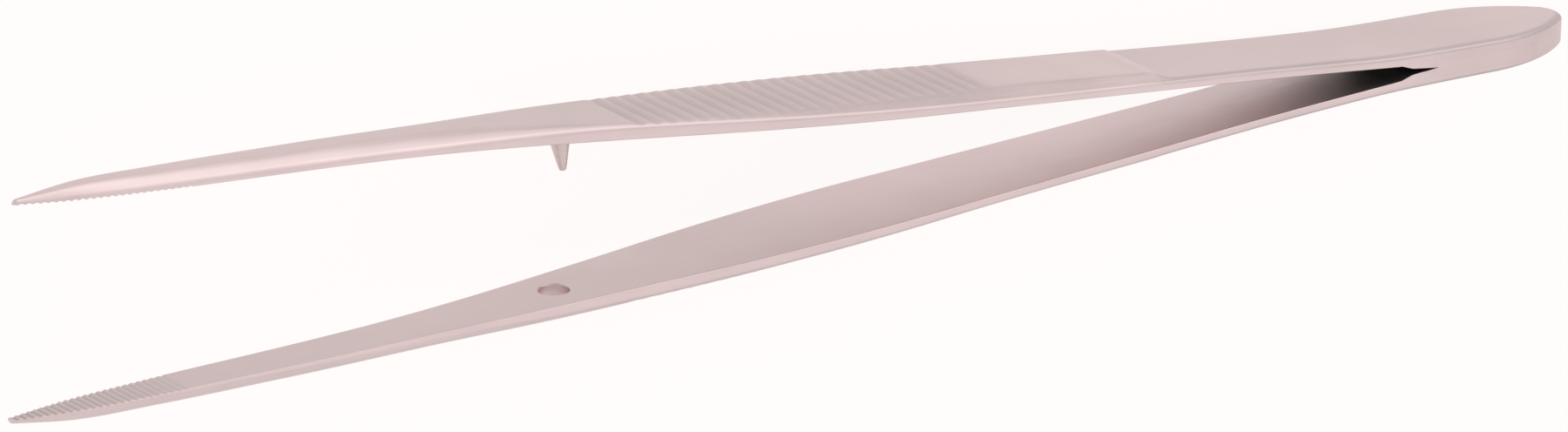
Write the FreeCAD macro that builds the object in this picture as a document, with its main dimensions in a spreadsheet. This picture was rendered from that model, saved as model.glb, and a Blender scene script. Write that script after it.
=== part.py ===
import FreeCAD, Part
import math
import os
import Sketcher

# Splinter tweezers: two forged spring arms welded face to face at the heel,
# with fluted finger grips, crowned points, toothed jaws and a tapered guide
# pin that drops into a hole in the other arm.
#
# The model lies on its side: x runs along the tweezers with the tips at -x,
# y from the lower arm to the upper arm, and z across the width, pointing up.
# While an arm is drawn, its heel end is at x = 0 on the mid-plane y = 0.

# Driving sizes, in millimetres and degrees
SIZES = [
    # Along the arm, each stretch on its own
    ("weld_length", 13.54, "heel end to the end of the weld"),
    ("slit_length", 2.32, "narrow slit left beyond the weld"),
    ("slit_gap", 0.22, "half gap at the end of the slit"),
    ("shoulder_length", 0.95, "length of the shoulder at the crotch"),
    ("leaf_length", 21.19, "thin spring leaf, shoulder to step"),
    ("plateau_length", 14.04, "smooth raised land behind the flutes"),
    ("flute_pitch", 1.262, "one flute to the next"),
    ("flute_count", 24, "flutes on each grip"),
    ("shank_length", 4.104, "flutes to the start of the bend"),
    ("pin_setback", 4.054, "flutes to the guide pin"),
    ("jaw_length", 9.5, "end of the bend to the start of the nose"),
    ("nose_length", 6.57, "tapering stretch behind the point"),
    ("point_length", 4.8, "last taper to the point"),
    # Spread of the arms
    ("spread_angle", 4.25, "inner face against the mid-plane"),
    ("spread_start", 9.71, "heel end to where that face would meet the plane"),
    ("bend_radius", 528.0, "inward bend ahead of the grip"),
    ("jaw_angle", 1.75, "inner face of the jaw against the mid-plane"),
    # Plan widths
    ("heel_width", 8.04, "across the heel"),
    ("crotch_width", 7.91, "across the end of the weld"),
    ("neck_width", 7.63, "narrowest part of the leaf"),
    ("step_width", 8.04, "at the step"),
    ("plateau_width", 8.76, "at the rear flute"),
    ("grip_width", 9.2, "widest part of the grip"),
    ("shoulder_width", 8.54, "two thirds along the flutes"),
    ("shank_width", 6.62, "at the front flute"),
    ("bend_width", 4.36, "middle of the inward bend"),
    ("jaw_width", 3.63, "rear of the jaw"),
    ("nose_width", 3.07, "start of the nose"),
    ("point_width", 2.15, "start of the point"),
    ("tip_width", 0.5, "blunt end of the point"),
    ("neck_share", 0.55, "place of the neck along the leaf"),
    ("grip_share", 0.304, "place of the widest part along the flutes"),
    ("shoulder_share", 0.629, "place of the shoulder along the flutes"),
    ("heel_nose", 8.3, "length of the rounded heel end"),
    ("heel_radius", 1.8, "radius at the very end of the heel"),
    # Thicknesses, out from the inner face
    ("heel_end_half", 1.16, "half thickness at the heel end"),
    ("heel_half", 1.3, "half thickness at the end of the weld"),
    ("leaf_thickness", 0.76, "spring leaf"),
    ("step_thickness", 1.13, "plateau at the step"),
    ("plateau_thickness", 1.22, "at the rear flute"),
    ("shank_thickness", 1.16, "at the front flute"),
    ("bend_thickness", 1.29, "middle of the inward bend"),
    ("jaw_thickness", 1.2, "rear of the jaw"),
    ("nose_thickness", 1.1, "start of the nose"),
    ("point_thickness", 0.92, "start of the point"),
    ("tip_thickness", 0.3, "blunt end of the point"),
    ("step_side", 0.58, "flat side below the bevel at the step"),
    ("plateau_side", 0.57, "flat side at the rear flute"),
    ("shank_side", 0.86, "flat side at the front flute"),
    ("bend_side", 0.57, "flat side at the middle of the bend"),
    ("jaw_side", 0.47, "flat side at the rear of the jaw"),
    ("nose_side", 0.39, "flat side at the start of the nose"),
    ("point_side", 0.3, "flat side at the start of the point"),
    ("tip_side", 0.1, "flat side at the blunt end"),
    # Bevels, ramp and heel bend
    ("step_inset", 1.05, "bevel width at the step"),
    ("plateau_inset", 1.4, "bevel width at the rear flute"),
    ("shank_inset", 0.5, "bevel width at the front flute"),
    ("bevel_bulge", 0.03, "rise of a bevel over its chord"),
    ("face_crown", 0.04, "rise of the grip face across its width"),
    ("knuckle_angle", 50.0, "where the crown of the points meets its flank"),
    ("flank_bulge", 0.14, "rise of that flank over its chord"),
    ("edge_ease", 0.2, "eased edge on leaf and heel, in height"),
    ("ramp_length", 1.3, "ground hollow from step to leaf"),
    ("heel_bend", 160.0, "radius of the bend in the outer heel face"),
    # Flutes and teeth
    ("flute_depth", 0.18, "flute below the grip face"),
    ("flute_radius", 1.0, "radius of the flute cutter"),
    ("tooth_pitch", 0.545, "one jaw tooth to the next"),
    ("tooth_gap", 0.43, "width of the notch between teeth"),
    ("tooth_depth", 0.17, "depth of that notch"),
    ("tooth_count", 24, "teeth on each jaw"),
    # Guide pin and its hole
    ("pin_diameter", 1.62, "at the inner face"),
    ("pin_tip_diameter", 0.5, "at its end"),
    ("pin_collar", 0.2, "parallel part proud of the inner face"),
    ("pin_reach", 2.86, "out from the inner face"),
    ("pin_seat", 0.8, "depth of its seat in the upper arm"),
    ("pin_lean", 8.6, "lean of the pin towards the heel"),
    ("hole_diameter", 2.2, "hole for the pin in the lower arm"),
]

doc = FreeCAD.newDocument("splinter_tweezers")
sheet = doc.addObject("Spreadsheet::Sheet", "Sizes")
for row, (alias, value, note) in enumerate(SIZES, start=1):
    sheet.set("A%d" % row, alias)
    sheet.set("B%d" % row, str(value))
    sheet.set("C%d" % row, note)
    sheet.setAlias("B%d" % row, alias)
doc.recompute()


def value(expression):
    """The number that an expression in the sheet's sizes gives."""
    return float(sheet.evalExpression(expression))


def ground_plane(body, role):
    """One of a body's own three planes."""
    for feature in body.Origin.OriginFeatures:
        if feature.Role == role:
            return feature
    raise RuntimeError("no plane " + role)


def start_sketch(body, name, role, shift=("0", "0", "0"), turn=None):
    """A sketch on a body's plane, shifted in the plane's own axes and turned about its normal."""
    sketch = body.newObject("Sketcher::SketchObject", name)
    sketch.AttachmentSupport = (ground_plane(body, role), [""])
    sketch.MapMode = "FlatFace"
    angle = value(turn) if turn else 0.0
    base = FreeCAD.Vector(*[value(amount) for amount in shift])
    sketch.AttachmentOffset = FreeCAD.Placement(base, FreeCAD.Rotation(FreeCAD.Vector(0, 0, 1), angle))
    for axis, amount in zip("xyz", shift):
        sketch.setExpression("AttachmentOffset.Base." + axis, amount)
    if turn:
        sketch.setExpression("AttachmentOffset.Rotation.Angle", turn)
    return sketch


def bind(sketch, constraint, expression):
    """Adds a constraint whose datum follows an expression."""
    index = sketch.addConstraint(constraint)
    sketch.setExpression("Constraints[%d]" % index, expression)


def draw_outline(sketch, corners, arcs=None):
    """A closed outline through corners, each a pair of expressions.

    arcs gives, for an edge's number, its radius expression and the side that
    it bulges to, seen along the outline: 1 for the right, -1 for the left.
    """
    arcs = arcs or {}
    points = [FreeCAD.Vector(value(x), value(y), 0) for x, y in corners]
    ends = []
    for edge, start in enumerate(points):
        finish = points[(edge + 1) % len(points)]
        if edge not in arcs:
            number = sketch.addGeometry(Part.LineSegment(start, finish), False)
            ends.append((number, 1, 2))
            continue
        radius, side = value(arcs[edge][0]), arcs[edge][1]
        chord = finish - start
        right = FreeCAD.Vector(chord.y, -chord.x, 0) / chord.Length
        inset = (radius ** 2 - (chord.Length / 2) ** 2) ** 0.5
        centre = (start + finish) / 2 - right * (side * inset)
        first, last = (start, finish) if side > 0 else (finish, start)
        from_angle = math.atan2(first.y - centre.y, first.x - centre.x)
        to_angle = math.atan2(last.y - centre.y, last.x - centre.x)
        circle = Part.Circle(centre, FreeCAD.Vector(0, 0, 1), radius)
        number = sketch.addGeometry(Part.ArcOfCircle(circle, from_angle, to_angle), False)
        ends.append((number, 1, 2) if side > 0 else (number, 2, 1))
    for edge, (number, start, finish) in enumerate(ends):
        after, after_start, after_finish = ends[(edge + 1) % len(ends)]
        sketch.addConstraint(Sketcher.Constraint("Coincident", number, finish, after, after_start))
    for edge, (number, start, finish) in enumerate(ends):
        x, y = corners[edge]
        bind(sketch, Sketcher.Constraint("DistanceX", number, start, points[edge].x), x)
        bind(sketch, Sketcher.Constraint("DistanceY", number, start, points[edge].y), y)
        if edge in arcs:
            radius = arcs[edge][0]
            bind(sketch, Sketcher.Constraint("Radius", number, value(radius)), radius)


def cut_through(body, name, sketch):
    """Cuts a sketch's outline right through the body, both ways from its plane."""
    before = body.Shape.Volume
    pocket = body.newObject("PartDesign::Pocket", name)
    pocket.Profile = sketch
    pocket.SideType = "Symmetric"
    pocket.Type = "Length"
    pocket.setExpression("Length", CUT_REACH)
    doc.recompute()
    if not body.Shape.Volume < before:
        raise RuntimeError(name + " cut nothing")
    return pocket


def repeat_cut(body, name, cut, sketch, pitch, count):
    """Repeats a cut along its sketch's own horizontal axis."""
    pattern = body.newObject("PartDesign::LinearPattern", name)
    pattern.Originals = [cut]
    pattern.Direction = (sketch, ["H_Axis"])
    pattern.setExpression("Length", "(%s - 1) * %s" % (count, pitch))
    pattern.setExpression("Occurrences", count)
    body.Tip = pattern
    doc.recompute()
    return pattern


# Places along the arm, each a distance from the heel end
SLIT_END = "(Sizes.weld_length + Sizes.slit_length)"
CROTCH = "(%s + Sizes.shoulder_length)" % SLIT_END
NECK = "(%s + Sizes.leaf_length * Sizes.neck_share)" % CROTCH
STEP = "(%s + Sizes.leaf_length)" % CROTCH
FLUTE_REAR = "(%s + Sizes.plateau_length)" % STEP
FLUTED = "(Sizes.flute_count * Sizes.flute_pitch)"
GRIP = "(%s + %s * Sizes.grip_share)" % (FLUTE_REAR, FLUTED)
SHOULDER = "(%s + %s * Sizes.shoulder_share)" % (FLUTE_REAR, FLUTED)
FLUTE_FRONT = "(%s + %s)" % (FLUTE_REAR, FLUTED)
PIN = "(%s + Sizes.pin_setback)" % FLUTE_FRONT
BEND_START = "(%s + Sizes.shank_length)" % FLUTE_FRONT
BEND_TURN = "((Sizes.spread_angle + Sizes.jaw_angle) / 2)"
BEND_RUN = "Sizes.bend_radius * (sin(Sizes.spread_angle) - sin(%s))"
BEND_RISE = "Sizes.bend_radius * (cos(%s) - cos(Sizes.spread_angle))"
BEND_MIDDLE = "(%s + %s)" % (BEND_START, BEND_RUN % BEND_TURN)
JAW = "(%s + %s)" % (BEND_START, BEND_RUN % "Sizes.jaw_angle")
NOSE = "(%s + Sizes.jaw_length)" % JAW
POINT = "(%s + Sizes.nose_length)" % NOSE
LENGTH = "(%s + Sizes.point_length)" % POINT


def straight_face(place):
    """Height of the inner face over the mid-plane, from the crotch to the bend."""
    return "(tan(Sizes.spread_angle) * (%s - Sizes.spread_start))" % place


BEND_MIDDLE_FACE = "(%s + %s)" % (straight_face(BEND_START), BEND_RISE % BEND_TURN)
JAW_REAR_FACE = "(%s + %s)" % (straight_face(BEND_START), BEND_RISE % "Sizes.jaw_angle")


def jaw_face(place):
    """Height of the inner face over the mid-plane, from the bend to the tip."""
    return "(%s + tan(Sizes.jaw_angle) * (%s - %s))" % (JAW_REAR_FACE, place, JAW)


def fluted_size(name, share):
    """A size that changes evenly along the flutes, at a share of their length from the rear."""
    change = "(Sizes.shank_%s - Sizes.plateau_%s)" % (name, name)
    return "(Sizes.plateau_%s + %s * %s)" % (name, change, share)


# The outer face of the heel, and the bend where it meets the leaf
HEEL_SLOPE = "((Sizes.heel_half - Sizes.heel_end_half) / Sizes.weld_length)"
HEEL_ANGLE = "(atan(%s) / 1 deg)" % HEEL_SLOPE
HEEL_BEND_DROP = "(Sizes.heel_end_half + tan(Sizes.spread_angle) * Sizes.spread_start)"
HEEL_BEND = "((%s - Sizes.leaf_thickness) / (tan(Sizes.spread_angle) - %s))" % (
    HEEL_BEND_DROP, HEEL_SLOPE)
BEND_TANGENT = "(Sizes.heel_bend * tan((Sizes.spread_angle - %s) / 2))" % HEEL_ANGLE
HEEL_BEND_START = "(%s - %s * cos(%s))" % (HEEL_BEND, BEND_TANGENT, HEEL_ANGLE)
HEEL_BEND_END = "(%s + %s * cos(Sizes.spread_angle))" % (HEEL_BEND, BEND_TANGENT)


def heel_face(place):
    """Height of the heel's outer face over the mid-plane."""
    return "(Sizes.heel_end_half + %s * %s)" % (HEEL_SLOPE, place)


def leaf_face(place):
    """Height of the leaf's outer face over the mid-plane."""
    return "(%s + Sizes.leaf_thickness)" % straight_face(place)


BEVEL_DROP = "(Sizes.step_thickness - Sizes.step_side)"
CUT_REACH = "(3 * Sizes.grip_width)"
OVERCUT = "Sizes.grip_width"


def section(body, name, place, width, side, edge, inset, crown, bulge):
    """One cross-section of the arm's blank, standing on the mid-plane.

    side is the height of the flat side and edge that of the outer face's
    edge, inset from the side. crown is the rise of the outer face between
    its edges, and bulge the rise of the flank as a share of its chord.
    """
    sketch = start_sketch(body, name + "_section", "YZ_Plane", ("0", "0", "-" + place))
    half = "(%s / 2)" % width
    land = "(%s - %s)" % (half, inset)
    chord = "sqrt((%s)^2 + (%s - %s)^2)" % (inset, edge, side)
    flank = "(%s * (0.25 + %s^2) / (2 * %s))" % (chord, bulge, bulge)
    top = "(((%s)^2 + (%s)^2) / (2 * %s))" % (land, crown, crown)
    corners = [("0", "-" + half), (side, "-" + half), (edge, "-" + land),
               (edge, land), (side, half), ("0", half)]
    draw_outline(sketch, corners, {1: (flank, 1), 2: (top, 1), 3: (flank, 1)})
    return sketch


def trimmed_section(body, name, place, width, outer):
    """A section of the heel or leaf, whose outer face is cut to its height later."""
    side = "(%s - Sizes.edge_ease)" % outer
    edge = "(%s + %s)" % (side, BEVEL_DROP)
    return section(body, name, place, width, side, edge,
                   "Sizes.step_inset", "Sizes.face_crown", "Sizes.bevel_bulge")


def bevelled_section(body, name, place, thickness, flat_side, inset):
    """A section of the raised land or the grip: a flat face between two bevels."""
    side = "(%s + %s)" % (straight_face(place), flat_side)
    edge = "(%s + %s - Sizes.face_crown)" % (straight_face(place), thickness)
    return section(body, name, place, "Sizes.%s_width" % name, side, edge,
                   inset, "Sizes.face_crown", "Sizes.bevel_bulge")


def fluted_section(body, name, place, share):
    """A section of the fluted stretch, at a share of its length from the rear flute."""
    return bevelled_section(body, name, place, fluted_size("thickness", share),
                            fluted_size("side", share), fluted_size("inset", share))


def crowned_section(body, name, place, face, prefix):
    """A section of the points: a half oval on a short flat side."""
    width = "Sizes.%s_width" % prefix
    oval = "(Sizes.%s_thickness - Sizes.%s_side)" % (prefix, prefix)
    side = "(%s + Sizes.%s_side)" % (face, prefix)
    edge = "(%s + sin(Sizes.knuckle_angle) * %s)" % (side, oval)
    inset = "((1 - cos(Sizes.knuckle_angle)) * %s / 2)" % width
    crown = "((1 - sin(Sizes.knuckle_angle)) * %s)" % oval
    return section(body, name, place, width, side, edge, inset, crown, "Sizes.flank_bulge")


def make_blank(body):
    """The arm's blank: one smooth loft from the heel to the tip, square on the mid-plane."""
    heel_width = "Sizes.heel_width"
    sections = [
        trimmed_section(body, "heel_end", "0", heel_width, heel_face("0")),
        trimmed_section(body, "heel", "Sizes.heel_nose", heel_width, heel_face("Sizes.heel_nose")),
        trimmed_section(body, "crotch", CROTCH, "Sizes.crotch_width", heel_face(CROTCH)),
        trimmed_section(body, "neck", NECK, "Sizes.neck_width", leaf_face(NECK)),
        bevelled_section(body, "step", STEP, "Sizes.step_thickness", "Sizes.step_side",
                         "Sizes.step_inset"),
        fluted_section(body, "plateau", FLUTE_REAR, "0"),
        fluted_section(body, "grip", GRIP, "Sizes.grip_share"),
        fluted_section(body, "shoulder", SHOULDER, "Sizes.shoulder_share"),
        fluted_section(body, "shank", FLUTE_FRONT, "1"),
        crowned_section(body, "bend", BEND_MIDDLE, BEND_MIDDLE_FACE, "bend"),
        crowned_section(body, "jaw", JAW, JAW_REAR_FACE, "jaw"),
        crowned_section(body, "nose", NOSE, jaw_face(NOSE), "nose"),
        crowned_section(body, "point", POINT, jaw_face(POINT), "point"),
        crowned_section(body, "tip", LENGTH, jaw_face(LENGTH), "tip"),
    ]
    doc.recompute()
    loft = body.newObject("PartDesign::AdditiveLoft", "blank_loft")
    loft.Profile = sections[0]
    loft.Sections = sections[1:]
    doc.recompute()


def cut_inner_face(body):
    """Frees the inner face from the weld to the tip: slit, shoulder, straight, bend and jaw."""
    sketch = start_sketch(body, "inner_face_profile", "XY_Plane")
    beyond = "(%s + %s)" % (LENGTH, OVERCUT)
    corners = [
        ("-Sizes.weld_length", "0"),
        ("-" + SLIT_END, "Sizes.slit_gap"),
        ("-" + CROTCH, straight_face(CROTCH)),
        ("-" + BEND_START, straight_face(BEND_START)),
        ("-" + JAW, JAW_REAR_FACE),
        ("-" + beyond, jaw_face(beyond)),
        ("-" + beyond, "-" + OVERCUT),
        ("-Sizes.weld_length", "-" + OVERCUT),
    ]
    draw_outline(sketch, corners, {3: ("Sizes.bend_radius", 1)})
    cut_through(body, "inner_face", sketch)


def cut_outer_face(body):
    """Thins the heel and the leaf, and leaves a hollow ramp up to the plateau."""
    sketch = start_sketch(body, "outer_face_profile", "XY_Plane")
    foot = "(%s - Sizes.ramp_length)" % STEP
    crest = "(%s + Sizes.step_thickness)" % straight_face(STEP)
    rise = "((Sizes.step_thickness - Sizes.leaf_thickness) * cos(Sizes.spread_angle))"
    run = "(Sizes.ramp_length / cos(Sizes.spread_angle) + %s * tan(Sizes.spread_angle))" % rise
    ramp = "((%s^2 + %s^2) / (2 * %s))" % (run, rise, rise)
    corners = [
        (OVERCUT, heel_face("(-%s)" % OVERCUT)),
        ("-" + HEEL_BEND_START, heel_face(HEEL_BEND_START)),
        ("-" + HEEL_BEND_END, leaf_face(HEEL_BEND_END)),
        ("-" + foot, leaf_face(foot)),
        ("-" + STEP, crest),
        ("-" + STEP, OVERCUT),
        (OVERCUT, OVERCUT),
    ]
    draw_outline(sketch, corners, {1: ("Sizes.heel_bend", -1), 3: (ramp, -1)})
    cut_through(body, "outer_face", sketch)


def round_heel(body):
    """Rounds the heel in plan: two side arcs tangent to a small one at the end."""
    sketch = start_sketch(body, "heel_nose_profile", "XZ_Plane")
    half = "(Sizes.heel_width / 2)"
    reach = "(Sizes.heel_nose - Sizes.heel_radius)"
    side = "((%s^2 + %s^2 - Sizes.heel_radius^2) / (2 * (%s - Sizes.heel_radius)))" % (
        reach, half, half)
    share = "(Sizes.heel_radius / (%s - Sizes.heel_radius))" % side
    tangent_x = "(%s * %s - Sizes.heel_radius)" % (share, reach)
    tangent_z = "(%s * (%s - %s))" % (share, side, half)
    corners = [
        ("-Sizes.heel_nose", half),
        (tangent_x, tangent_z),
        (tangent_x, "-" + tangent_z),
        ("-Sizes.heel_nose", "-" + half),
        ("-Sizes.heel_nose", "-" + OVERCUT),
        (OVERCUT, "-" + OVERCUT),
        (OVERCUT, OVERCUT),
        ("-Sizes.heel_nose", OVERCUT),
    ]
    draw_outline(sketch, corners, {0: (side, -1), 1: ("Sizes.heel_radius", -1), 2: (side, -1)})
    cut_through(body, "heel_rounding", sketch)


def cut_flutes(body):
    """Finger flutes: one round groove across the grip, repeated along its face."""
    first = "(%s + Sizes.flute_pitch / 2)" % FLUTE_REAR
    thickness = fluted_size("thickness", "(0.5 / Sizes.flute_count)")
    face = "(%s + %s)" % (straight_face(first), thickness)
    growth = "((Sizes.shank_thickness - Sizes.plateau_thickness) / %s)" % FLUTED
    slope = "(atan(tan(Sizes.spread_angle) + %s) / 1 deg)" % growth
    sketch = start_sketch(body, "flute_profile", "XY_Plane", ("-" + first, face, "0"),
                          "(180 - %s)" % slope)
    centre = value("Sizes.flute_depth - Sizes.flute_radius")
    circle = Part.Circle(FreeCAD.Vector(0, centre, 0), FreeCAD.Vector(0, 0, 1),
                         value("Sizes.flute_radius"))
    number = sketch.addGeometry(circle, False)
    bind(sketch, Sketcher.Constraint("DistanceX", number, 3, 0), "0")
    bind(sketch, Sketcher.Constraint("DistanceY", number, 3, centre),
         "Sizes.flute_depth - Sizes.flute_radius")
    bind(sketch, Sketcher.Constraint("Radius", number, value("Sizes.flute_radius")),
         "Sizes.flute_radius")
    cut = cut_through(body, "flute", sketch)
    repeat_cut(body, "flutes", cut, sketch, "Sizes.flute_pitch", "Sizes.flute_count")


def cut_teeth(body):
    """Jaw teeth: one notch across the inner face near the tip, repeated towards the heel."""
    first = "(%s - Sizes.tooth_pitch)" % LENGTH
    sketch = start_sketch(body, "tooth_profile", "XY_Plane",
                          ("-" + first, jaw_face(first), "0"), "(-Sizes.jaw_angle)")
    reach = "Sizes.tooth_gap"
    corners = [
        ("-" + reach, "-Sizes.tooth_depth"),
        (reach, "-Sizes.tooth_depth"),
        ("0", "Sizes.tooth_depth"),
    ]
    draw_outline(sketch, corners)
    cut = cut_through(body, "tooth_gap", sketch)
    repeat_cut(body, "teeth", cut, sketch, "Sizes.tooth_pitch", "Sizes.tooth_count")


def place_on_side(thing):
    """Moves a body from its drawing place to the finished place, lying on its side."""
    thing.setExpression("Placement.Base.x", LENGTH + " / 2")
    thing.setExpression("Placement.Base.z", "Sizes.grip_width / 2")


def make_guide_pin():
    """The guide pin: a shank seated in the upper arm, a short collar and a long taper."""
    body = doc.addObject("PartDesign::Body", "guide_pin")
    sketch = start_sketch(body, "pin_profile", "XY_Plane",
                          ("-" + PIN, straight_face(PIN), "0"), "Sizes.pin_lean")
    corners = [
        ("0", "Sizes.pin_seat"),
        ("Sizes.pin_diameter / 2", "Sizes.pin_seat"),
        ("Sizes.pin_diameter / 2", "-Sizes.pin_collar"),
        ("Sizes.pin_tip_diameter / 2", "-Sizes.pin_reach"),
        ("0", "-Sizes.pin_reach"),
    ]
    draw_outline(sketch, corners)
    doc.recompute()
    turned = body.newObject("PartDesign::Revolution", "pin_turning")
    turned.Profile = sketch
    turned.ReferenceAxis = (sketch, ["V_Axis"])
    turned.Angle = 360
    place_on_side(body)
    doc.recompute()
    return body


def make_arms(guide_pin):
    """The two arms from one blank: seated on the pin, and mirrored with a hole for it."""
    blank = doc.addObject("PartDesign::Body", "arm_blank")
    make_blank(blank)
    cut_inner_face(blank)
    cut_outer_face(blank)
    round_heel(blank)
    cut_flutes(blank)
    cut_teeth(blank)
    place_on_side(blank)

    upper = doc.addObject("Part::Cut", "upper_arm")
    upper.Base = blank
    upper.Tool = guide_pin

    mirrored = doc.addObject("Part::Mirroring", "mirrored_blank")
    mirrored.Source = blank
    mirrored.Normal = FreeCAD.Vector(0, 1, 0)
    drill = doc.addObject("Part::Cylinder", "pin_hole")
    drill.setExpression("Radius", "Sizes.hole_diameter / 2")
    drill.setExpression("Height", "%s + Sizes.shank_thickness" % OVERCUT)
    drill.Placement.Rotation = FreeCAD.Rotation(FreeCAD.Vector(1, 0, 0), 90)
    drill.setExpression("Placement.Base.x", "%s / 2 - %s" % (LENGTH, PIN))
    drill.setExpression("Placement.Base.z", "Sizes.grip_width / 2")
    lower = doc.addObject("Part::Cut", "lower_arm")
    lower.Base = mirrored
    lower.Tool = drill
    doc.recompute()
    return upper, lower


def check_and_export(parts):
    """Stops on any failed object or shape, then writes each part's STEP file."""
    for thing in doc.Objects:
        if "Invalid" in thing.State or "Error" in thing.State:
            raise RuntimeError("%s failed: %s" % (thing.Name, thing.State))
    for thing in parts:
        if thing.Shape.isNull() or not thing.Shape.isValid() or len(thing.Shape.Solids) != 1:
            raise RuntimeError(thing.Label + " is not one valid solid")
    os.makedirs("parts", exist_ok=True)
    for thing in parts:
        thing.Shape.exportStep("parts/%s.step" % thing.Label)
        box = thing.Shape.BoundBox
        print("%s %.2f mm3, x %.2f to %.2f, y %.2f to %.2f, z %.2f to %.2f" % (
            thing.Label, thing.Shape.Volume, box.XMin, box.XMax, box.YMin, box.YMax,
            box.ZMin, box.ZMax))


pin = make_guide_pin()
upper_arm, lower_arm = make_arms(pin)
check_and_export([upper_arm, lower_arm, pin])
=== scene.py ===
import math

import bmesh
import bpy
import numpy as np
from mathutils import Matrix, Vector


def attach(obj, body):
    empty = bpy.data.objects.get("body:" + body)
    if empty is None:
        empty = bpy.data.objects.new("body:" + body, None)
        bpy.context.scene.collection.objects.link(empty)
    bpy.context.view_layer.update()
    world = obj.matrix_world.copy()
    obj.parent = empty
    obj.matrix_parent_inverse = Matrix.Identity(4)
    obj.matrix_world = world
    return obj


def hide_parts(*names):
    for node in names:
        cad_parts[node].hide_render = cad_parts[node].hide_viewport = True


# Splinter tweezers lying on their side. Shapes are worked out in millimetres,
# along the arm from the heel end, and put into the frame by in_frame().

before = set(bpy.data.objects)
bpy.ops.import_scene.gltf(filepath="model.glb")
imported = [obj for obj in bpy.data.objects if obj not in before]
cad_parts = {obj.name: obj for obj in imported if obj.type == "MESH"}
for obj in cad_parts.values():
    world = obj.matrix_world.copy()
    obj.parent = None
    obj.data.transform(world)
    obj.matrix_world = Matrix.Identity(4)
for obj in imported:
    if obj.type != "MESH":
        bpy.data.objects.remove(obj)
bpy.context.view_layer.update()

MM = 0.001
TINY = 1e-6

# The fluted stretch of an arm, and the stretches ahead of it
FLUTE_PITCH = 1.262
FLUTE_COUNT = 24
FLUTED = FLUTE_COUNT * FLUTE_PITCH
PIN_SETBACK = 4.054
SHANK_LENGTH = 4.104
JAW_LENGTH = 9.5
NOSE_LENGTH = 6.57
POINT_LENGTH = 4.8

# Places along an arm, from the heel end
WELD_END = 13.54
SLIT_END = 15.86
CROTCH = 16.81
STEP = 38.0
FLUTE_REAR = 52.04
FLUTE_FRONT = FLUTE_REAR + FLUTED
PIN = FLUTE_FRONT + PIN_SETBACK
BEND_START = FLUTE_FRONT + SHANK_LENGTH

# Places at a share of a stretch: the narrowest of the leaf, the widest of the grip and the grip's shoulder
NECK = CROTCH + 0.55 * (STEP - CROTCH)
WIDEST = FLUTE_REAR + 0.304 * FLUTED
SHOULDER = FLUTE_REAR + 0.629 * FLUTED

# Half the slit, the angles and the bend of the inner face, and the places from that bend on
SLIT_GAP = 0.22
SPREAD_ANGLE = math.radians(4.25)
SPREAD_START = 9.71
JAW_ANGLE = math.radians(1.75)
BEND_RADIUS = 528.0
BEND_RUN = BEND_RADIUS * (math.sin(SPREAD_ANGLE) - math.sin(JAW_ANGLE))
BEND_END = BEND_START + BEND_RUN
BEND_MIDDLE = BEND_START + BEND_RUN / 2
NOSE = BEND_END + JAW_LENGTH
POINT = NOSE + NOSE_LENGTH
LENGTH = POINT + POINT_LENGTH

# The heel in plan: a small end circle between two large side arcs
HEEL_WIDTH = 8.04
HEEL_NOSE = 8.3
HEEL_RADIUS = 1.8
HEEL_REACH = HEEL_NOSE - HEEL_RADIUS
SIDE_RADIUS = ((HEEL_REACH ** 2 + (HEEL_WIDTH / 2) ** 2 - HEEL_RADIUS ** 2)
               / (HEEL_WIDTH - 2 * HEEL_RADIUS))
HEEL_TANGENT = HEEL_RADIUS - HEEL_RADIUS / (SIDE_RADIUS - HEEL_RADIUS) * HEEL_REACH

# Thicknesses, the run of the ramp, the drop at the leaf's edges and the rounding of the tip
HEEL_END_HALF = 1.16
HEEL_HALF = 1.3
LEAF = 0.76
STEP_THICKNESS = 1.13
RAMP = 1.3
EDGE_EASE = 0.2
BLUNT = 0.3

# Half the width of the grips at their widest, which is also how high the middle of the tweezers lies
GRIP_HALF = 4.6

# Rise of the grip's face across its half width, and the least half width it spreads over
FACE_CROWN = 0.04
CROWN_HALF = 0.5

# Roundings where leaf meets heel, bevel meets face and flute meets land
LEAF_BLEND = 0.17
BEVEL_BLEND = 0.05
FLUTE_BLEND = 0.035

# Round flank of the jaws: its width in bevel widths, and the power of its curve
FLANK_REACH = 1.9
FLANK_POWER = 1.8

# Largest share of an arm's thickness at the edge that its easing takes
EASE_SHARE = 0.7

# Flutes, teeth, guide pin and its hole
FLUTE_DEPTH = 0.18
FLUTE_RADIUS = 1.0
TOOTH_PITCH = 0.545
TOOTH_GAP = 0.43
TOOTH_DEPTH = 0.17
TOOTH_COUNT = 24
TEETH_REAR = LENGTH - TOOTH_COUNT * TOOTH_PITCH
HOLE_RADIUS = 1.1
HOLE_CHAMFER = 0.07
PIN_LEAN = math.radians(8.6)
PIN_SIDES = 64

# The guide pin's reach out of the inner face, and its radius there
PIN_PROFILE = np.array([
    (-0.8, 0.0),
    (-0.8, 0.81),
    (0.0, 0.81),
    (0.16, 0.81),
    (0.2, 0.805),
    (0.25, 0.79),
    (1.2, 0.6),
    (2.2, 0.395),
    (2.78, 0.265),
    (2.83, 0.24),
    (2.86, 0.19),
    (2.86, 0.0),
])

# Half width against place
WIDTH_TABLE = np.array([
    (HEEL_NOSE, HEEL_WIDTH / 2),
    (CROTCH, 3.955),
    (NECK, 3.815),
    (STEP, 4.02),
    (FLUTE_REAR, 4.38),
    (WIDEST, GRIP_HALF),
    (SHOULDER, 4.27),
    (FLUTE_FRONT, 3.31),
    (BEND_MIDDLE, 2.18),
    (BEND_END, 1.815),
    (NOSE, 1.535),
    (POINT, 1.075),
    (LENGTH, 0.25),
])

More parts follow.
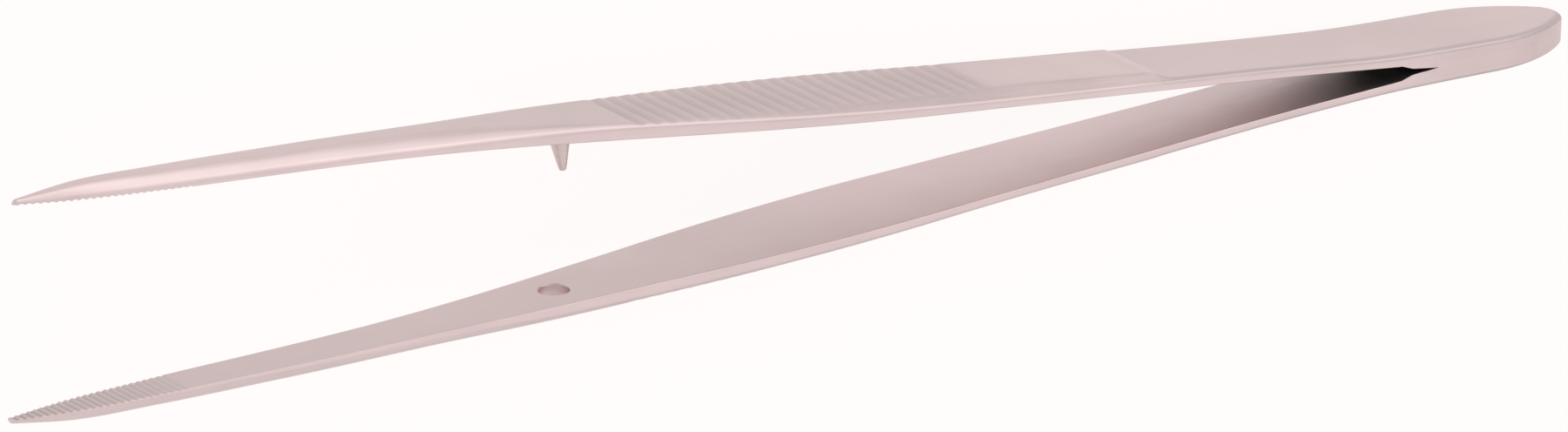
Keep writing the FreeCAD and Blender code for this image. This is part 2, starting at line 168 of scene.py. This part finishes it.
# Thickness, flat side and width of the bevel or flank against place
FORM_TABLE = np.array([
    (STEP, STEP_THICKNESS, 0.58, 1.05),
    (FLUTE_REAR, 1.22, 0.57, 1.4),
    (FLUTE_REAR + 0.5 * FLUTED, 1.19, 0.715, 0.95),
    (FLUTE_FRONT, 1.16, 0.86, 0.5),
    (BEND_MIDDLE, 1.29, 0.57, 0.78),
    (BEND_END, 1.2, 0.47, 0.65),
    (NOSE, 1.1, 0.39, 0.55),
    (POINT, 0.92, 0.3, 0.38),
    (LENGTH, 0.3, 0.1, 0.09),
])

# Radius of the eased edges against place
OUTER_EASE = np.array([
    (0, 0.2),
    (CROTCH, 0.16),
    (STEP, 0.14),
    (FLUTE_FRONT, 0.22),
    (BEND_MIDDLE, 0.22),
    (NOSE, 0.2),
    (LENGTH, 0.02),
])
INNER_EASE = np.array([
    (0, 0),
    (WELD_END, 0),
    (SLIT_END, 0.08),
    (BEND_START, 0.08),
    (LENGTH, 0.02),
])

# Depth left in the teeth against place, as a share: those at the rear are the most worn
TOOTH_WEAR = np.array([(TEETH_REAR, 0.35), (LENGTH, 0.95)])

# Shares of painted shade against place: outer face, lighter towards the tip, jaw flanks, where it tones down
# their highlight, eased outer edge, as a dark line over its highlight, and the side below it
FACE_SHADE = np.array([
    (CROTCH, 0.1),
    (STEP, 0.12),
    (STEP + 3.0, 0.07),
    (FLUTE_REAR, 0.12),
    (PIN, 0.13),
    (BEND_MIDDLE, 0.1),
    (BEND_END, 0.06),
    (LENGTH, 0.05),
])
FLANK_SHADE = np.array([
    (FLUTE_FRONT, 0.0),
    (BEND_START, 0.08),
    (BEND_END, 0.1),
    (NOSE, 0.05),
    (POINT, 0.0),
])
EDGE_SHADE = np.array([
    (STEP, 0.37),
    (STEP + 2.0, 0.24),
    (FLUTE_FRONT, 0.2),
    (BEND_MIDDLE, 0.0),
])
SIDE_SHADE = np.array([
    (CROTCH, 0.1),
    (STEP, 0.06),
    (FLUTE_FRONT, 0.03),
    (BEND_MIDDLE, 0.0),
])

# Shares of grey that are added on the outer face: from the grip to the nose, and as painted shade in the
# flutes, along the start of a bevel, on the bevel, and on the ramp
GRIP_GREY = 0.03
FLUTE_SHADE = 0.18
LINE_SHADE = 0.2
BEVEL_SHADE = 0.1
RAMP_SHADE = 0.07

# How far those marks, the painted highlight on the crest of the step and the painted shade of the edge reach
# or fade, in millimetres
GRIP_FADE = 3.0
LINE_FADE = 2.0
LINE_WIDTH = 0.1
BEVEL_FADE = 0.2
CREST_WIDTH = 0.16
CREST_FADE = 0.3
RAMP_FADE = 0.3
EDGE_FADE = 0.14

# Where the painted shade of the ramp starts, in runs of the ramp behind the step, where that of the bevel
# starts to fade, as a share of the fluted stretch, and where that of a flank does, in bevel widths
RAMP_SHADE_START = 1.5
BEVEL_SHADE_HOLD = 0.3
FLANK_SHADE_HOLD = 0.4

# Where the edge's own painted shade ends and where it begins, in from the outline: behind the step, then
# ahead of it
EDGE_REACH = (0.24, 0.12)
EDGE_START = (0.045, 0.06)

# Shares of grey against place: painted shade on the inner face, darkest into the crotch, painted shade in the
# notches between the teeth, and the grey of the edge of the inner face, which fades into the face over
# INNER_EDGE
INNER_SHADE = np.array([
    (SLIT_END, 0.8),
    (CROTCH + 2.0, 0.53),
    (24.0, 0.17),
    (31.0, 0.03),
    (38.0, 0.0),
    (50.0, 0.0),
    (70.0, 0.1),
    (LENGTH, 0.2),
])
NOTCH_SHADE = np.array([(TEETH_REAR, 0.05), (LENGTH, 0.4)])
WELD_GREY = np.array([(WELD_END, 0.09), (CROTCH, 0.0)])
INNER_EDGE = 0.12

# Grid lines across an arm. Round the pin hole: lines from its centre to its rim and to the end of the
# warp, and the distance from one line to the next along the arm
ACROSS = 49
HOLE_LINES = 6
WARP_LINES = 12
HOLE_STEP = 0.18

# Lines along each flute, along each notch between teeth, and along the round ends of heel and tip
FLUTE_LINES = 10
NOTCH_LINES = 7
HEEL_END_LINES = 17
TIP_LINES = 9

# Points nearer than this are merged, in metres, and edges sharper than this stay sharp
MERGE_DISTANCE = 1e-7
SHARP_ANGLE = math.radians(30.0)

# Steel: scale of its grinding lines along the arm and of its slow changes, and the share of the slow ones
STREAK_SCALE = 60.0
BROAD_SCALE = 140.0
BROAD_SHARE = 0.4

# The part of the noise that counts, the tints at its ends, the change of roughness either way, the depth
# of the lines in metres, and the dark grey mixed in as painted shade
NOISE_RANGE = (0.3, 0.7)
TINT_RANGE = (0.92, 1.07)
ROUGHNESS_SPREAD = 0.05
STREAK_DEPTH = 0.000003
SHADE_GREY = (0.12, 0.15, 0.148, 1.0)

# Sockets of a mix node: its two numbers, its two colours and its mixed colour
MIX_NUMBERS = (2, 3)
MIX_COLOURS = (6, 7)
MIXED_COLOUR = 2

# Lamps and camera
LAMP_COLOUR = (1.0, 0.985, 0.98)
SENSOR_WIDTH = 36.0


def straight_lines(x, table):
    """A value through a table of places and values, in straight lines."""
    return np.interp(x, table[:, 0], table[:, 1])


def smooth_curve(x, places, values):
    """A curve through a table: cubic between places, each slope that of the line through its neighbours."""
    slopes = np.gradient(values, places)
    at = np.clip(np.searchsorted(places, x) - 1, 0, len(places) - 2)
    gap = places[at + 1] - places[at]
    t = np.clip((x - places[at]) / gap, 0, 1)
    first = (2 * t ** 3 - 3 * t ** 2 + 1) * values[at] + (t ** 3 - 2 * t ** 2 + t) * gap * slopes[at]
    last = (3 * t ** 2 - 2 * t ** 3) * values[at + 1] + (t ** 3 - t ** 2) * gap * slopes[at + 1]
    return first + last


def smooth_step(x, start, end):
    """0 before start, 1 after end, and 3t^2 - 2t^3 between."""
    t = np.clip((x - start) / (end - start), 0, 1)
    return t * t * (3 - 2 * t)


def soft_min(a, b, blend):
    """The lower of two heights, with the corner where they cross rounded over by blend."""
    return (a + b - np.sqrt((a - b) ** 2 + blend ** 2)) / 2


def soft_max(a, b, blend):
    """The higher of two heights, rounded in the same way."""
    return (a + b + np.sqrt((a - b) ** 2 + blend ** 2)) / 2


def quarter_round(inset, radius):
    """How far a rounded edge lies below its corner: r - sqrt(r^2 - (r - inset)^2) within r of the edge."""
    radius = np.maximum(radius, TINY)
    short = np.clip(radius - inset, 0, radius)
    return radius - np.sqrt(np.maximum(radius ** 2 - short ** 2, 0))


def tip_round(x):
    """Shrinks the last stretch to nothing as a quarter circle does."""
    t = np.clip((x - (LENGTH - BLUNT)) / BLUNT, 0, 1)
    return np.sqrt(1 - t * t)


def inner_face(x):
    """Height of the inner face: weld, slit, shoulder, straight spread, an arc, and the jaw."""
    straight = math.tan(SPREAD_ANGLE) * (x - SPREAD_START)
    near = np.interp(x, [0, WELD_END, SLIT_END, CROTCH],
                     [0, 0, SLIT_GAP, math.tan(SPREAD_ANGLE) * (CROTCH - SPREAD_START)])
    turn = np.arcsin(math.sin(SPREAD_ANGLE) - np.clip(x - BEND_START, 0, BEND_RUN) / BEND_RADIUS)
    start_height = math.tan(SPREAD_ANGLE) * (BEND_START - SPREAD_START)
    bend = start_height + BEND_RADIUS * (np.cos(turn) - math.cos(SPREAD_ANGLE))
    jaw = bend + math.tan(JAW_ANGLE) * np.maximum(x - BEND_END, 0)
    return np.where(x < CROTCH, near, np.where(x < BEND_START, straight, jaw))


def half_width(x):
    """Half the plan width: end circle, side arcs of the heel, then the table, closed at the tip."""
    circle = np.sqrt(np.maximum(HEEL_RADIUS ** 2 - (HEEL_RADIUS - x) ** 2, 0))
    short = np.clip(HEEL_NOSE - x, 0, HEEL_NOSE)
    side = HEEL_WIDTH / 2 - SIDE_RADIUS + np.sqrt(SIDE_RADIUS ** 2 - short ** 2)
    body = smooth_curve(x, WIDTH_TABLE[:, 0], WIDTH_TABLE[:, 1])
    heel = np.where(x < HEEL_TANGENT, circle, side)
    return np.where(x < HEEL_NOSE, heel, body) * tip_round(x)


def edge_inset(x, z):
    """Distance in from the plan outline: radial at the heel, straight across elsewhere."""
    circle = HEEL_RADIUS - np.hypot(HEEL_RADIUS - x, z)
    side = SIDE_RADIUS - np.hypot(HEEL_NOSE - x, np.abs(z) + SIDE_RADIUS - HEEL_WIDTH / 2)
    heel = np.where(x < HEEL_TANGENT, circle, side)
    return np.maximum(np.where(x < HEEL_NOSE, heel, half_width(x) - np.abs(z)), 0)


def flute_floor(x, face):
    """The floor of the flutes: a circle of the cutter's radius every pitch, open to the sky elsewhere."""
    from_rear = x - FLUTE_REAR
    along = np.mod(from_rear, FLUTE_PITCH) - FLUTE_PITCH / 2
    floor = face + FLUTE_RADIUS - FLUTE_DEPTH - np.sqrt(FLUTE_RADIUS ** 2 - along ** 2)
    fluted = (from_rear > 0) & (from_rear < FLUTED)
    return np.where(fluted, floor, face + 1)


def outer_face(x, z, fluted=True):
    """Height of the outer face: heel and leaf, ramp, bevelled and fluted grip, then round flanks on the jaw.

    A flank rises from the side to the full thickness as 1 - (1 - t)^p, where
    t goes from 0 at the edge to 1 at the flat of the face and p is FLANK_POWER.
    """
    width = np.maximum(half_width(x), TINY)
    face = inner_face(x)
    heel = HEEL_END_HALF + (HEEL_HALF - HEEL_END_HALF) / WELD_END * x
    leaf = math.tan(SPREAD_ANGLE) * (x - SPREAD_START) + LEAF
    spring = soft_max(heel, leaf, LEAF_BLEND)
    rise = STEP_THICKNESS - LEAF
    ramp_radius = (RAMP ** 2 + rise ** 2) / (2 * rise)
    climb = np.clip(x - STEP + RAMP, 0, RAMP)
    ramp = spring + ramp_radius - np.sqrt(ramp_radius ** 2 - climb ** 2)
    thickness, side, land = [smooth_curve(x, FORM_TABLE[:, 0], column) for column in FORM_TABLE[:, 1:].T]
    thickness, side = thickness * tip_round(x), side * tip_round(x)
    crest = np.where(x < STEP, ramp, face + thickness)
    shoulder = np.where(x < STEP, spring - EDGE_EASE, face + side)
    inset = edge_inset(x, z)
    bevel = shoulder + (thickness - side) / land * inset
    crown = FACE_CROWN * (z / np.maximum(width - land, CROWN_HALF)) ** 2
    crown = crown * smooth_step(x, STEP - RAMP, STEP)
    grip = soft_min(bevel, crest - crown, BEVEL_BLEND)
    if fluted:
        grip = soft_min(grip, flute_floor(x, crest), FLUTE_BLEND)
    climbed = np.clip(inset / (FLANK_REACH * land), 0, 1)
    flank = face + side + (thickness - side) * (1 - (1 - climbed) ** FLANK_POWER) - crown
    height = grip + (flank - grip) * smooth_step(x, FLUTE_FRONT, BEND_MIDDLE)
    ease = np.minimum(straight_lines(x, OUTER_EASE), (height - face) * EASE_SHARE)
    return height - quarter_round(inset, ease)


def painted_shade_outside(x, z):
    """Share of painted shade on the outer face: more in the flutes, where a bevel starts and along the eased
    edges, and less on the crest of the step, which is a painted highlight.

    From the leaf up the ramp the bevel widens with the square of the climb,
    so its line curves in from the edge of the leaf to the bevel of the land.
    """
    inset = edge_inset(x, z)
    land = smooth_curve(x, FORM_TABLE[:, 0], FORM_TABLE[:, 3])
    leaf_land = EDGE_EASE * FORM_TABLE[0, 3] / (STEP_THICKNESS - FORM_TABLE[0, 2])
    climb = np.clip((x - STEP) / RAMP + 1, 0, 1)
    land = np.where(x < STEP, leaf_land + (FORM_TABLE[0, 3] - leaf_land) * climb ** 2, land)

    grip = smooth_step(x, FLUTE_REAR - GRIP_FADE, FLUTE_REAR + GRIP_FADE) * (1 - smooth_step(x, PIN, NOSE))
    depth = np.clip((outer_face(x, z, False) - outer_face(x, z)) / FLUTE_DEPTH, 0, 1)
    behind_flutes = 1 - smooth_step(x, FLUTE_REAR - LINE_FADE, FLUTE_REAR + LINE_FADE)
    line = np.exp(-((inset - land) / LINE_WIDTH) ** 2) * behind_flutes
    bevel = (1 - smooth_step(inset, land - BEVEL_FADE, land)) * climb
    bevel = bevel * (1 - smooth_step(x, FLUTE_REAR + BEVEL_SHADE_HOLD * FLUTED, FLUTE_FRONT))
    # Painted highlight: the crest of the step is spared the grey
    crest = np.exp(-((x - STEP) / CREST_WIDTH) ** 2) * smooth_step(inset, land - CREST_FADE, land)
    ramp = smooth_step(x, STEP - RAMP_SHADE_START * RAMP, STEP - RAMP_FADE) * (x < STEP)
    flank = 1 - smooth_step(inset, FLANK_SHADE_HOLD * land, FLANK_REACH * land)

    # Painted shade in the flutes, along and over the bevel, on the jaw flanks and the ramp; the crest of the
    # step is spared as a painted highlight
    share = straight_lines(x, FACE_SHADE) + GRIP_GREY * grip + FLUTE_SHADE * depth ** 2
    share = share + LINE_SHADE * line + BEVEL_SHADE * bevel + straight_lines(x, FLANK_SHADE) * flank
    share = (share + RAMP_SHADE * ramp) * (1 - crest)
    # Painted shade along the eased edge, which also darkens its highlight, and on the side below it
    edge = straight_lines(x, EDGE_SHADE)
    reach = np.where(x < STEP, *EDGE_REACH)
    share = edge + (share - edge) * smooth_step(inset, reach, reach + EDGE_FADE)
    side = straight_lines(x, SIDE_SHADE)
    return side + (share - side) * smooth_step(inset, 0.0, np.where(x < STEP, *EDGE_START))


def tooth_depth(x):
    """Depth of the notches between the teeth, from 0 to 1: a V cut every pitch."""
    from_tip = LENGTH - x
    along = np.abs(np.mod(from_tip - TOOTH_PITCH / 2, TOOTH_PITCH) - TOOTH_PITCH / 2)
    toothed = (from_tip > TOOTH_PITCH / 2) & (from_tip < TOOTH_PITCH * (TOOTH_COUNT + 0.5))
    return np.where(toothed, np.clip(1 - along / (TOOTH_GAP / 2), 0, 1), 0)


def toothed_face(x, z):
    """Height of the inner face with its eased edges and the notches of the teeth."""
    notch = straight_lines(x, TOOTH_WEAR) * TOOTH_DEPTH * tooth_depth(x)
    return inner_face(x) + notch + quarter_round(edge_inset(x, z), straight_lines(x, INNER_EASE))


def painted_shade_inside(x, z):
    """Share of painted shade on the inner face: grey all over, darker into the crotch and between the teeth.
    """
    # Painted shade, darkest into the crotch and in the notches between the teeth
    share = straight_lines(x, INNER_SHADE) + straight_lines(x, NOTCH_SHADE) * tooth_depth(x)
    side = straight_lines(x, WELD_GREY)
    return side + (share - side) * smooth_step(edge_inset(x, z), 0.0, INNER_EDGE)


def stations():
    """Places of the cross-sections, closer at the heel end, ramp, flutes, hole and teeth."""
    end_turn = math.acos(1 - HEEL_TANGENT / HEEL_RADIUS)
    heel_end = HEEL_RADIUS * (1 - np.cos(np.linspace(0, end_turn, HEEL_END_LINES)))
    tooth_start = LENGTH - TOOTH_PITCH * (TOOTH_COUNT + 0.5)
    tooth = np.append(0, TOOTH_PITCH / 2 + TOOTH_GAP / 2 * np.linspace(-1, 1, NOTCH_LINES))
    tooth_lines = tooth_start + (np.arange(TOOTH_COUNT)[:, None] * TOOTH_PITCH + tooth).ravel()
    point_end = LENGTH - BLUNT * (1 - np.sin(np.linspace(0, math.pi / 2, TIP_LINES)))
    warp = HOLE_STEP * WARP_LINES
    ahead_of_step = STEP + 0.01
    stretches = [
        (HEEL_TANGENT, HEEL_NOSE, 19),
        (HEEL_NOSE, WELD_END, 9),
        (WELD_END, SLIT_END, 7),
        (SLIT_END, CROTCH, 7),
        (CROTCH, STEP - RAMP, 32),
        (STEP - RAMP, STEP, 12),
        (ahead_of_step, FLUTE_REAR, 16),
        (FLUTE_REAR, FLUTE_FRONT, FLUTE_COUNT * FLUTE_LINES + 1),
        (FLUTE_FRONT, PIN - warp, 8),
        (PIN - warp, PIN + warp, 2 * WARP_LINES + 1),
        (PIN + warp, tooth_start, 60),
        (tooth_lines[-1], LENGTH - BLUNT, 3),
    ]
    places = [np.linspace(start, end, count) for start, end, count in stretches]
    places += [heel_end, tooth_lines, point_end]
    return np.unique(np.round(np.concatenate(places), 6))


def plan_grid(with_hole):
    """Places and offsets of an arm's grid points, and the number of the cross-section nearest the pin.

    Across the arm, z is the half width times the sines of even angles.

    Round a hole the grid is warped so that a square of lines becomes the
    circle: each point moves along its ray from the centre, by a share that
    fades to nothing at the edge of the warp.
    """
    places = stations()
    angles = np.linspace(-math.pi / 2, math.pi / 2, ACROSS)
    x = np.repeat(places[:, None], ACROSS, axis=1)
    z = half_width(x) * np.sin(angles)[None, :]
    centre = np.argmin(np.abs(places - PIN))
    lines = np.maximum(np.abs(np.arange(len(places)) - centre)[:, None],
                       np.abs(np.arange(ACROSS) - ACROSS // 2)[None, :])
    if with_hole:
        ray = np.maximum(np.hypot(x - PIN, z), TINY)
        fade = np.clip((lines - HOLE_LINES) / (WARP_LINES - HOLE_LINES), 0, 1)
        scale = (1 - fade) * (HOLE_RADIUS + HOLE_CHAMFER) / ray + fade
        x = np.where(lines < WARP_LINES, PIN + (x - PIN) * scale, x)
        z = np.where(lines < WARP_LINES, z * scale, z)
    return x, z, centre


def hole_loop(centre):
    """Rows and columns of the square of grid lines that is the rim of the hole, in order round it."""
    reach = np.arange(-HOLE_LINES, HOLE_LINES)
    flat = np.full(2 * HOLE_LINES, HOLE_LINES)
    rows = np.concatenate([reach, flat, -reach, -flat])
    columns = np.concatenate([-flat, reach, flat, -reach])
    return centre + rows, ACROSS // 2 + columns


def in_frame(x, y, z):
    """Puts points into the frame, in metres: tips at -x, the tweezers lying on one side of the grips."""
    return np.stack([LENGTH / 2 - x, y, z + GRIP_HALF], axis=-1).reshape(-1, 3) * MM


def strip_faces(first, second):
    """Quads between two closed rings of points, given by their numbers."""
    return np.stack([first, np.roll(first, -1), np.roll(second, -1), second], axis=-1).reshape(-1, 4)


def make_piece(name, points, faces, painted_shade, node, material):
    """A closed mesh, its doubles merged, its faces turned outwards and its sharp edges marked."""
    mesh = bpy.data.meshes.new(name)
    mesh.from_pydata(points.tolist(), [], faces.tolist())
    # Per-point share of painted shade, mixed in by the material as dark grey
    mesh.attributes.new("painted_shade", "FLOAT", "POINT").data.foreach_set("value", painted_shade)
    shell = bmesh.new()
    shell.from_mesh(mesh)
    bmesh.ops.remove_doubles(shell, verts=shell.verts, dist=MERGE_DISTANCE)
    bmesh.ops.recalc_face_normals(shell, faces=shell.faces)
    shell.to_mesh(mesh)
    shell.free()
    mesh.shade_smooth()
    mesh.set_sharp_from_angle(angle=SHARP_ANGLE)
    mesh.materials.append(material)
    piece = bpy.data.objects.new(name, mesh)
    bpy.context.scene.collection.objects.link(piece)
    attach(piece, "root")
    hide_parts(node)
    return piece


def make_arm(name, node, side, with_hole, material):
    """An arm: the outer and inner faces over one plan grid, joined by the side walls and the hole's wall."""
    x, z, centre = plan_grid(with_hole)
    outer = np.arange(x.size).reshape(x.shape)
    inner = outer + x.size
    points = [in_frame(x, side * outer_face(x, z), z), in_frame(x, side * toothed_face(x, z), z)]
    # Painted shade on the outer and inner faces
    painted_shade = np.concatenate([painted_shade_outside(x, z).ravel(), painted_shade_inside(x, z).ravel()])
    ring = np.concatenate([outer, inner[:, ::-1]], axis=1)
    across = np.arange(ring.shape[1])
    after = np.roll(across, -1)
    quads = np.stack([ring[:-1][:, across], ring[1:][:, across], ring[1:][:, after], ring[:-1][:, after]],
                     axis=-1)
    if not with_hole:
        return make_piece(name, np.concatenate(points), quads.reshape(-1, 4), painted_shade, node, material)
    row_inside = np.abs(np.arange(len(x) - 1) + 0.5 - centre) < HOLE_LINES
    column_inside = np.abs(np.arange(ACROSS - 1) + 0.5 - ACROSS // 2) < HOLE_LINES
    cut = np.zeros(quads.shape[:2], dtype=bool)
    cut[:, :ACROSS - 1] = row_inside[:, None] & column_inside[None, :]
    cut[:, ACROSS:2 * ACROSS - 1] = row_inside[:, None] & column_inside[None, ::-1]
    loop_rows, loop_columns = hole_loop(centre)
    rim_x = x[loop_rows, loop_columns]
    rim_z = z[loop_rows, loop_columns]
    wall_x = PIN + (rim_x - PIN) * HOLE_RADIUS / (HOLE_RADIUS + HOLE_CHAMFER)
    wall_z = rim_z * HOLE_RADIUS / (HOLE_RADIUS + HOLE_CHAMFER)
    points.append(in_frame(wall_x, side * (outer_face(rim_x, rim_z) - HOLE_CHAMFER), wall_z))
    points.append(in_frame(wall_x, side * (toothed_face(rim_x, rim_z) + HOLE_CHAMFER), wall_z))
    top = 2 * x.size + np.arange(len(rim_x))
    foot = top + len(rim_x)
    faces = np.concatenate([
        quads[~cut],
        strip_faces(outer[loop_rows, loop_columns], top),
        strip_faces(top, foot),
        strip_faces(foot, inner[loop_rows, loop_columns]),
    ])
    painted_shade = np.concatenate([painted_shade, np.zeros(2 * len(rim_x))])
    used = np.unique(faces)
    number = np.zeros(len(painted_shade), dtype=int)
    number[used] = np.arange(len(used))
    return make_piece(name, np.concatenate(points)[used], number[faces], painted_shade[used], node, material)


def make_guide_pin(material):
    """The guide pin: its profile of radius against reach, turned round an axis that leans to the heel."""
    turn = np.linspace(0, 2 * math.pi, PIN_SIDES, endpoint=False)
    out = np.repeat(PIN_PROFILE[:, :1], PIN_SIDES, axis=1)
    sideways = PIN_PROFILE[:, 1:] * np.cos(turn)
    z = PIN_PROFILE[:, 1:] * np.sin(turn)
    x = PIN - out * math.sin(PIN_LEAN) + sideways * math.cos(PIN_LEAN)
    y = inner_face(np.float64(PIN)) - out * math.cos(PIN_LEAN) - sideways * math.sin(PIN_LEAN)
    numbers = np.arange(out.size).reshape(out.shape)
    faces = np.concatenate([strip_faces(a, b) for a, b in zip(numbers[:-1], numbers[1:])])
    return make_piece("guide_pin_turned", in_frame(x, y, z), faces, np.zeros(out.size), "guide_pin", material)


def satin_steel(name, colour, roughness, grain):
    """Satin stainless steel: fine grinding lines along x over slow changes of tone.

    Two noises on Object coordinates, one stretched along the arm and one
    broad, tint the colour. The first also shifts the roughness and lifts a
    faint bump. A per-point attribute mixes in a dark grey as painted shade.
    """
    material = bpy.data.materials.new(name)
    material.use_nodes = True
    nodes = material.node_tree.nodes
    links = material.node_tree.links
    shader = nodes["Principled BSDF"]
    shader.inputs["Metallic"].default_value = 1.0
    place = nodes.new("ShaderNodeTexCoord")
    stretch = nodes.new("ShaderNodeMapping")
    stretch.inputs["Scale"].default_value = (STREAK_SCALE, grain, grain)
    links.new(place.outputs["Object"], stretch.inputs["Vector"])
    streaks = nodes.new("ShaderNodeTexNoise")
    streaks.inputs["Scale"].default_value = 1.0
    streaks.inputs["Detail"].default_value = 5.0
    streaks.inputs["Roughness"].default_value = 0.6
    links.new(stretch.outputs["Vector"], streaks.inputs["Vector"])
    broad = nodes.new("ShaderNodeTexNoise")
    broad.inputs["Scale"].default_value = BROAD_SCALE
    broad.inputs["Detail"].default_value = 3.0
    links.new(place.outputs["Object"], broad.inputs["Vector"])
    tone = nodes.new("ShaderNodeMix")
    tone.inputs["Factor"].default_value = BROAD_SHARE
    links.new(streaks.outputs["Fac"], tone.inputs[MIX_NUMBERS[0]])
    links.new(broad.outputs["Fac"], tone.inputs[MIX_NUMBERS[1]])
    ramp = nodes.new("ShaderNodeValToRGB")
    for stop, noise, tint in zip(ramp.color_ramp.elements, NOISE_RANGE, TINT_RANGE):
        stop.position = noise
        stop.color = [c * tint for c in colour] + [1.0]
    links.new(tone.outputs[0], ramp.inputs["Fac"])
    # Painted shade: the per-point share of dark grey carried by the mesh
    painted_shade = nodes.new("ShaderNodeAttribute")
    painted_shade.attribute_name = "painted_shade"
    greyed = nodes.new("ShaderNodeMix")
    greyed.data_type = "RGBA"
    greyed.inputs[MIX_COLOURS[1]].default_value = SHADE_GREY
    links.new(painted_shade.outputs["Fac"], greyed.inputs[0])
    links.new(ramp.outputs["Color"], greyed.inputs[MIX_COLOURS[0]])
    links.new(greyed.outputs[MIXED_COLOUR], shader.inputs["Base Color"])
    rough = nodes.new("ShaderNodeMapRange")
    rough.inputs["From Min"].default_value = NOISE_RANGE[0]
    rough.inputs["From Max"].default_value = NOISE_RANGE[1]
    rough.inputs["To Min"].default_value = roughness - ROUGHNESS_SPREAD
    rough.inputs["To Max"].default_value = roughness + ROUGHNESS_SPREAD
    links.new(streaks.outputs["Fac"], rough.inputs["Value"])
    links.new(rough.outputs["Result"], shader.inputs["Roughness"])
    bump = nodes.new("ShaderNodeBump")
    bump.inputs["Strength"].default_value = 0.3
    bump.inputs["Distance"].default_value = STREAK_DEPTH
    links.new(streaks.outputs["Fac"], bump.inputs["Height"])
    links.new(bump.outputs["Normal"], shader.inputs["Normal"])
    return material


def pale_floor():
    """A plain pale floor, partly lit from within so that shadows stay faint."""
    mesh = bpy.data.meshes.new("pale_floor")
    reach = 3.0
    mesh.from_pydata([(-reach, -reach, 0), (reach, -reach, 0), (reach, reach, 0), (-reach, reach, 0)],
                     [], [(0, 1, 2, 3)])
    material = bpy.data.materials.new("pale_paper")
    material.use_nodes = True
    shader = material.node_tree.nodes["Principled BSDF"]
    shader.inputs["Base Color"].default_value = (0.08, 0.078, 0.077, 1.0)
    shader.inputs["Roughness"].default_value = 1.0
    shader.inputs["Specular IOR Level"].default_value = 0.0
    shader.inputs["Emission Color"].default_value = (1.0, 0.975, 0.965, 1.0)
    shader.inputs["Emission Strength"].default_value = 0.93
    mesh.materials.append(material)
    floor = bpy.data.objects.new("pale_floor", mesh)
    bpy.context.scene.collection.objects.link(floor)


def soft_light(name, place, size, power):
    """A square softbox at a place, turned to the origin."""
    light = bpy.data.lights.new(name, "AREA")
    light.shape = "SQUARE"
    light.size = size
    light.energy = power
    light.color = LAMP_COLOUR
    lamp = bpy.data.objects.new(name, light)
    lamp.location = place
    lamp.rotation_euler = (-Vector(place)).to_track_quat("-Z", "Y").to_euler()
    bpy.context.scene.collection.objects.link(lamp)


def pale_room():
    """A pale world all round, shown without any change of tone."""
    world = bpy.data.worlds.new("pale_room")
    world.use_nodes = True
    background = world.node_tree.nodes["Background"]
    background.inputs["Color"].default_value = (1.0, 0.98, 0.975, 1.0)
    background.inputs["Strength"].default_value = 0.95
    bpy.context.scene.world = world
    bpy.context.scene.view_settings.view_transform = "Standard"


def place_camera():
    """A camera a metre away, turned round the tweezers' height, raised and rolled.

    Its right, up and back axes are those of the turn and the raise, the
    first two turned in the picture by the roll.
    """
    turn = math.radians(35.56)
    raised = math.radians(18.28)
    roll = math.radians(1.96)
    distance = 1.0
    view_width = 0.1083
    shift_left = 0.00185
    shift_down = 0.00365
    right = Vector((math.cos(turn), 0, math.sin(turn)))
    back = Vector((-math.sin(turn) * math.cos(raised), math.sin(raised), math.cos(turn) * math.cos(raised)))
    up = back.cross(right)
    rolled_right = right * math.cos(roll) + up * math.sin(roll)
    rolled_up = up * math.cos(roll) - right * math.sin(roll)
    aim = Vector((0, 0, GRIP_HALF * MM)) - rolled_right * shift_left - rolled_up * shift_down
    camera = bpy.data.cameras.new("camera")
    camera.sensor_width = SENSOR_WIDTH
    camera.lens = SENSOR_WIDTH * distance / view_width
    camera.clip_end = 20.0
    holder = bpy.data.objects.new("camera", camera)
    axes = Matrix((rolled_right, rolled_up, back)).transposed().to_4x4()
    holder.matrix_world = Matrix.Translation(aim + back * distance) @ axes
    bpy.context.scene.collection.objects.link(holder)
    bpy.context.scene.camera = holder


arm_steel = satin_steel("satin_arm_steel", (0.69, 0.565, 0.56), roughness=0.4, grain=3000.0)
pin_steel = satin_steel("satin_pin_steel", (0.7, 0.59, 0.57), roughness=0.5, grain=2500.0)

upper = make_arm("upper_arm_forged", "upper_arm", 1, False, arm_steel)
lower = make_arm("lower_arm_forged", "lower_arm", -1, True, arm_steel)
pin = make_guide_pin(pin_steel)

pale_floor()
soft_light("overhead", (0.44, -0.24, 0.62), size=0.5, power=0.15)
soft_light("behind", (0.5, 0.8, 0.3), size=0.8, power=1.7)
pale_room()
place_camera()
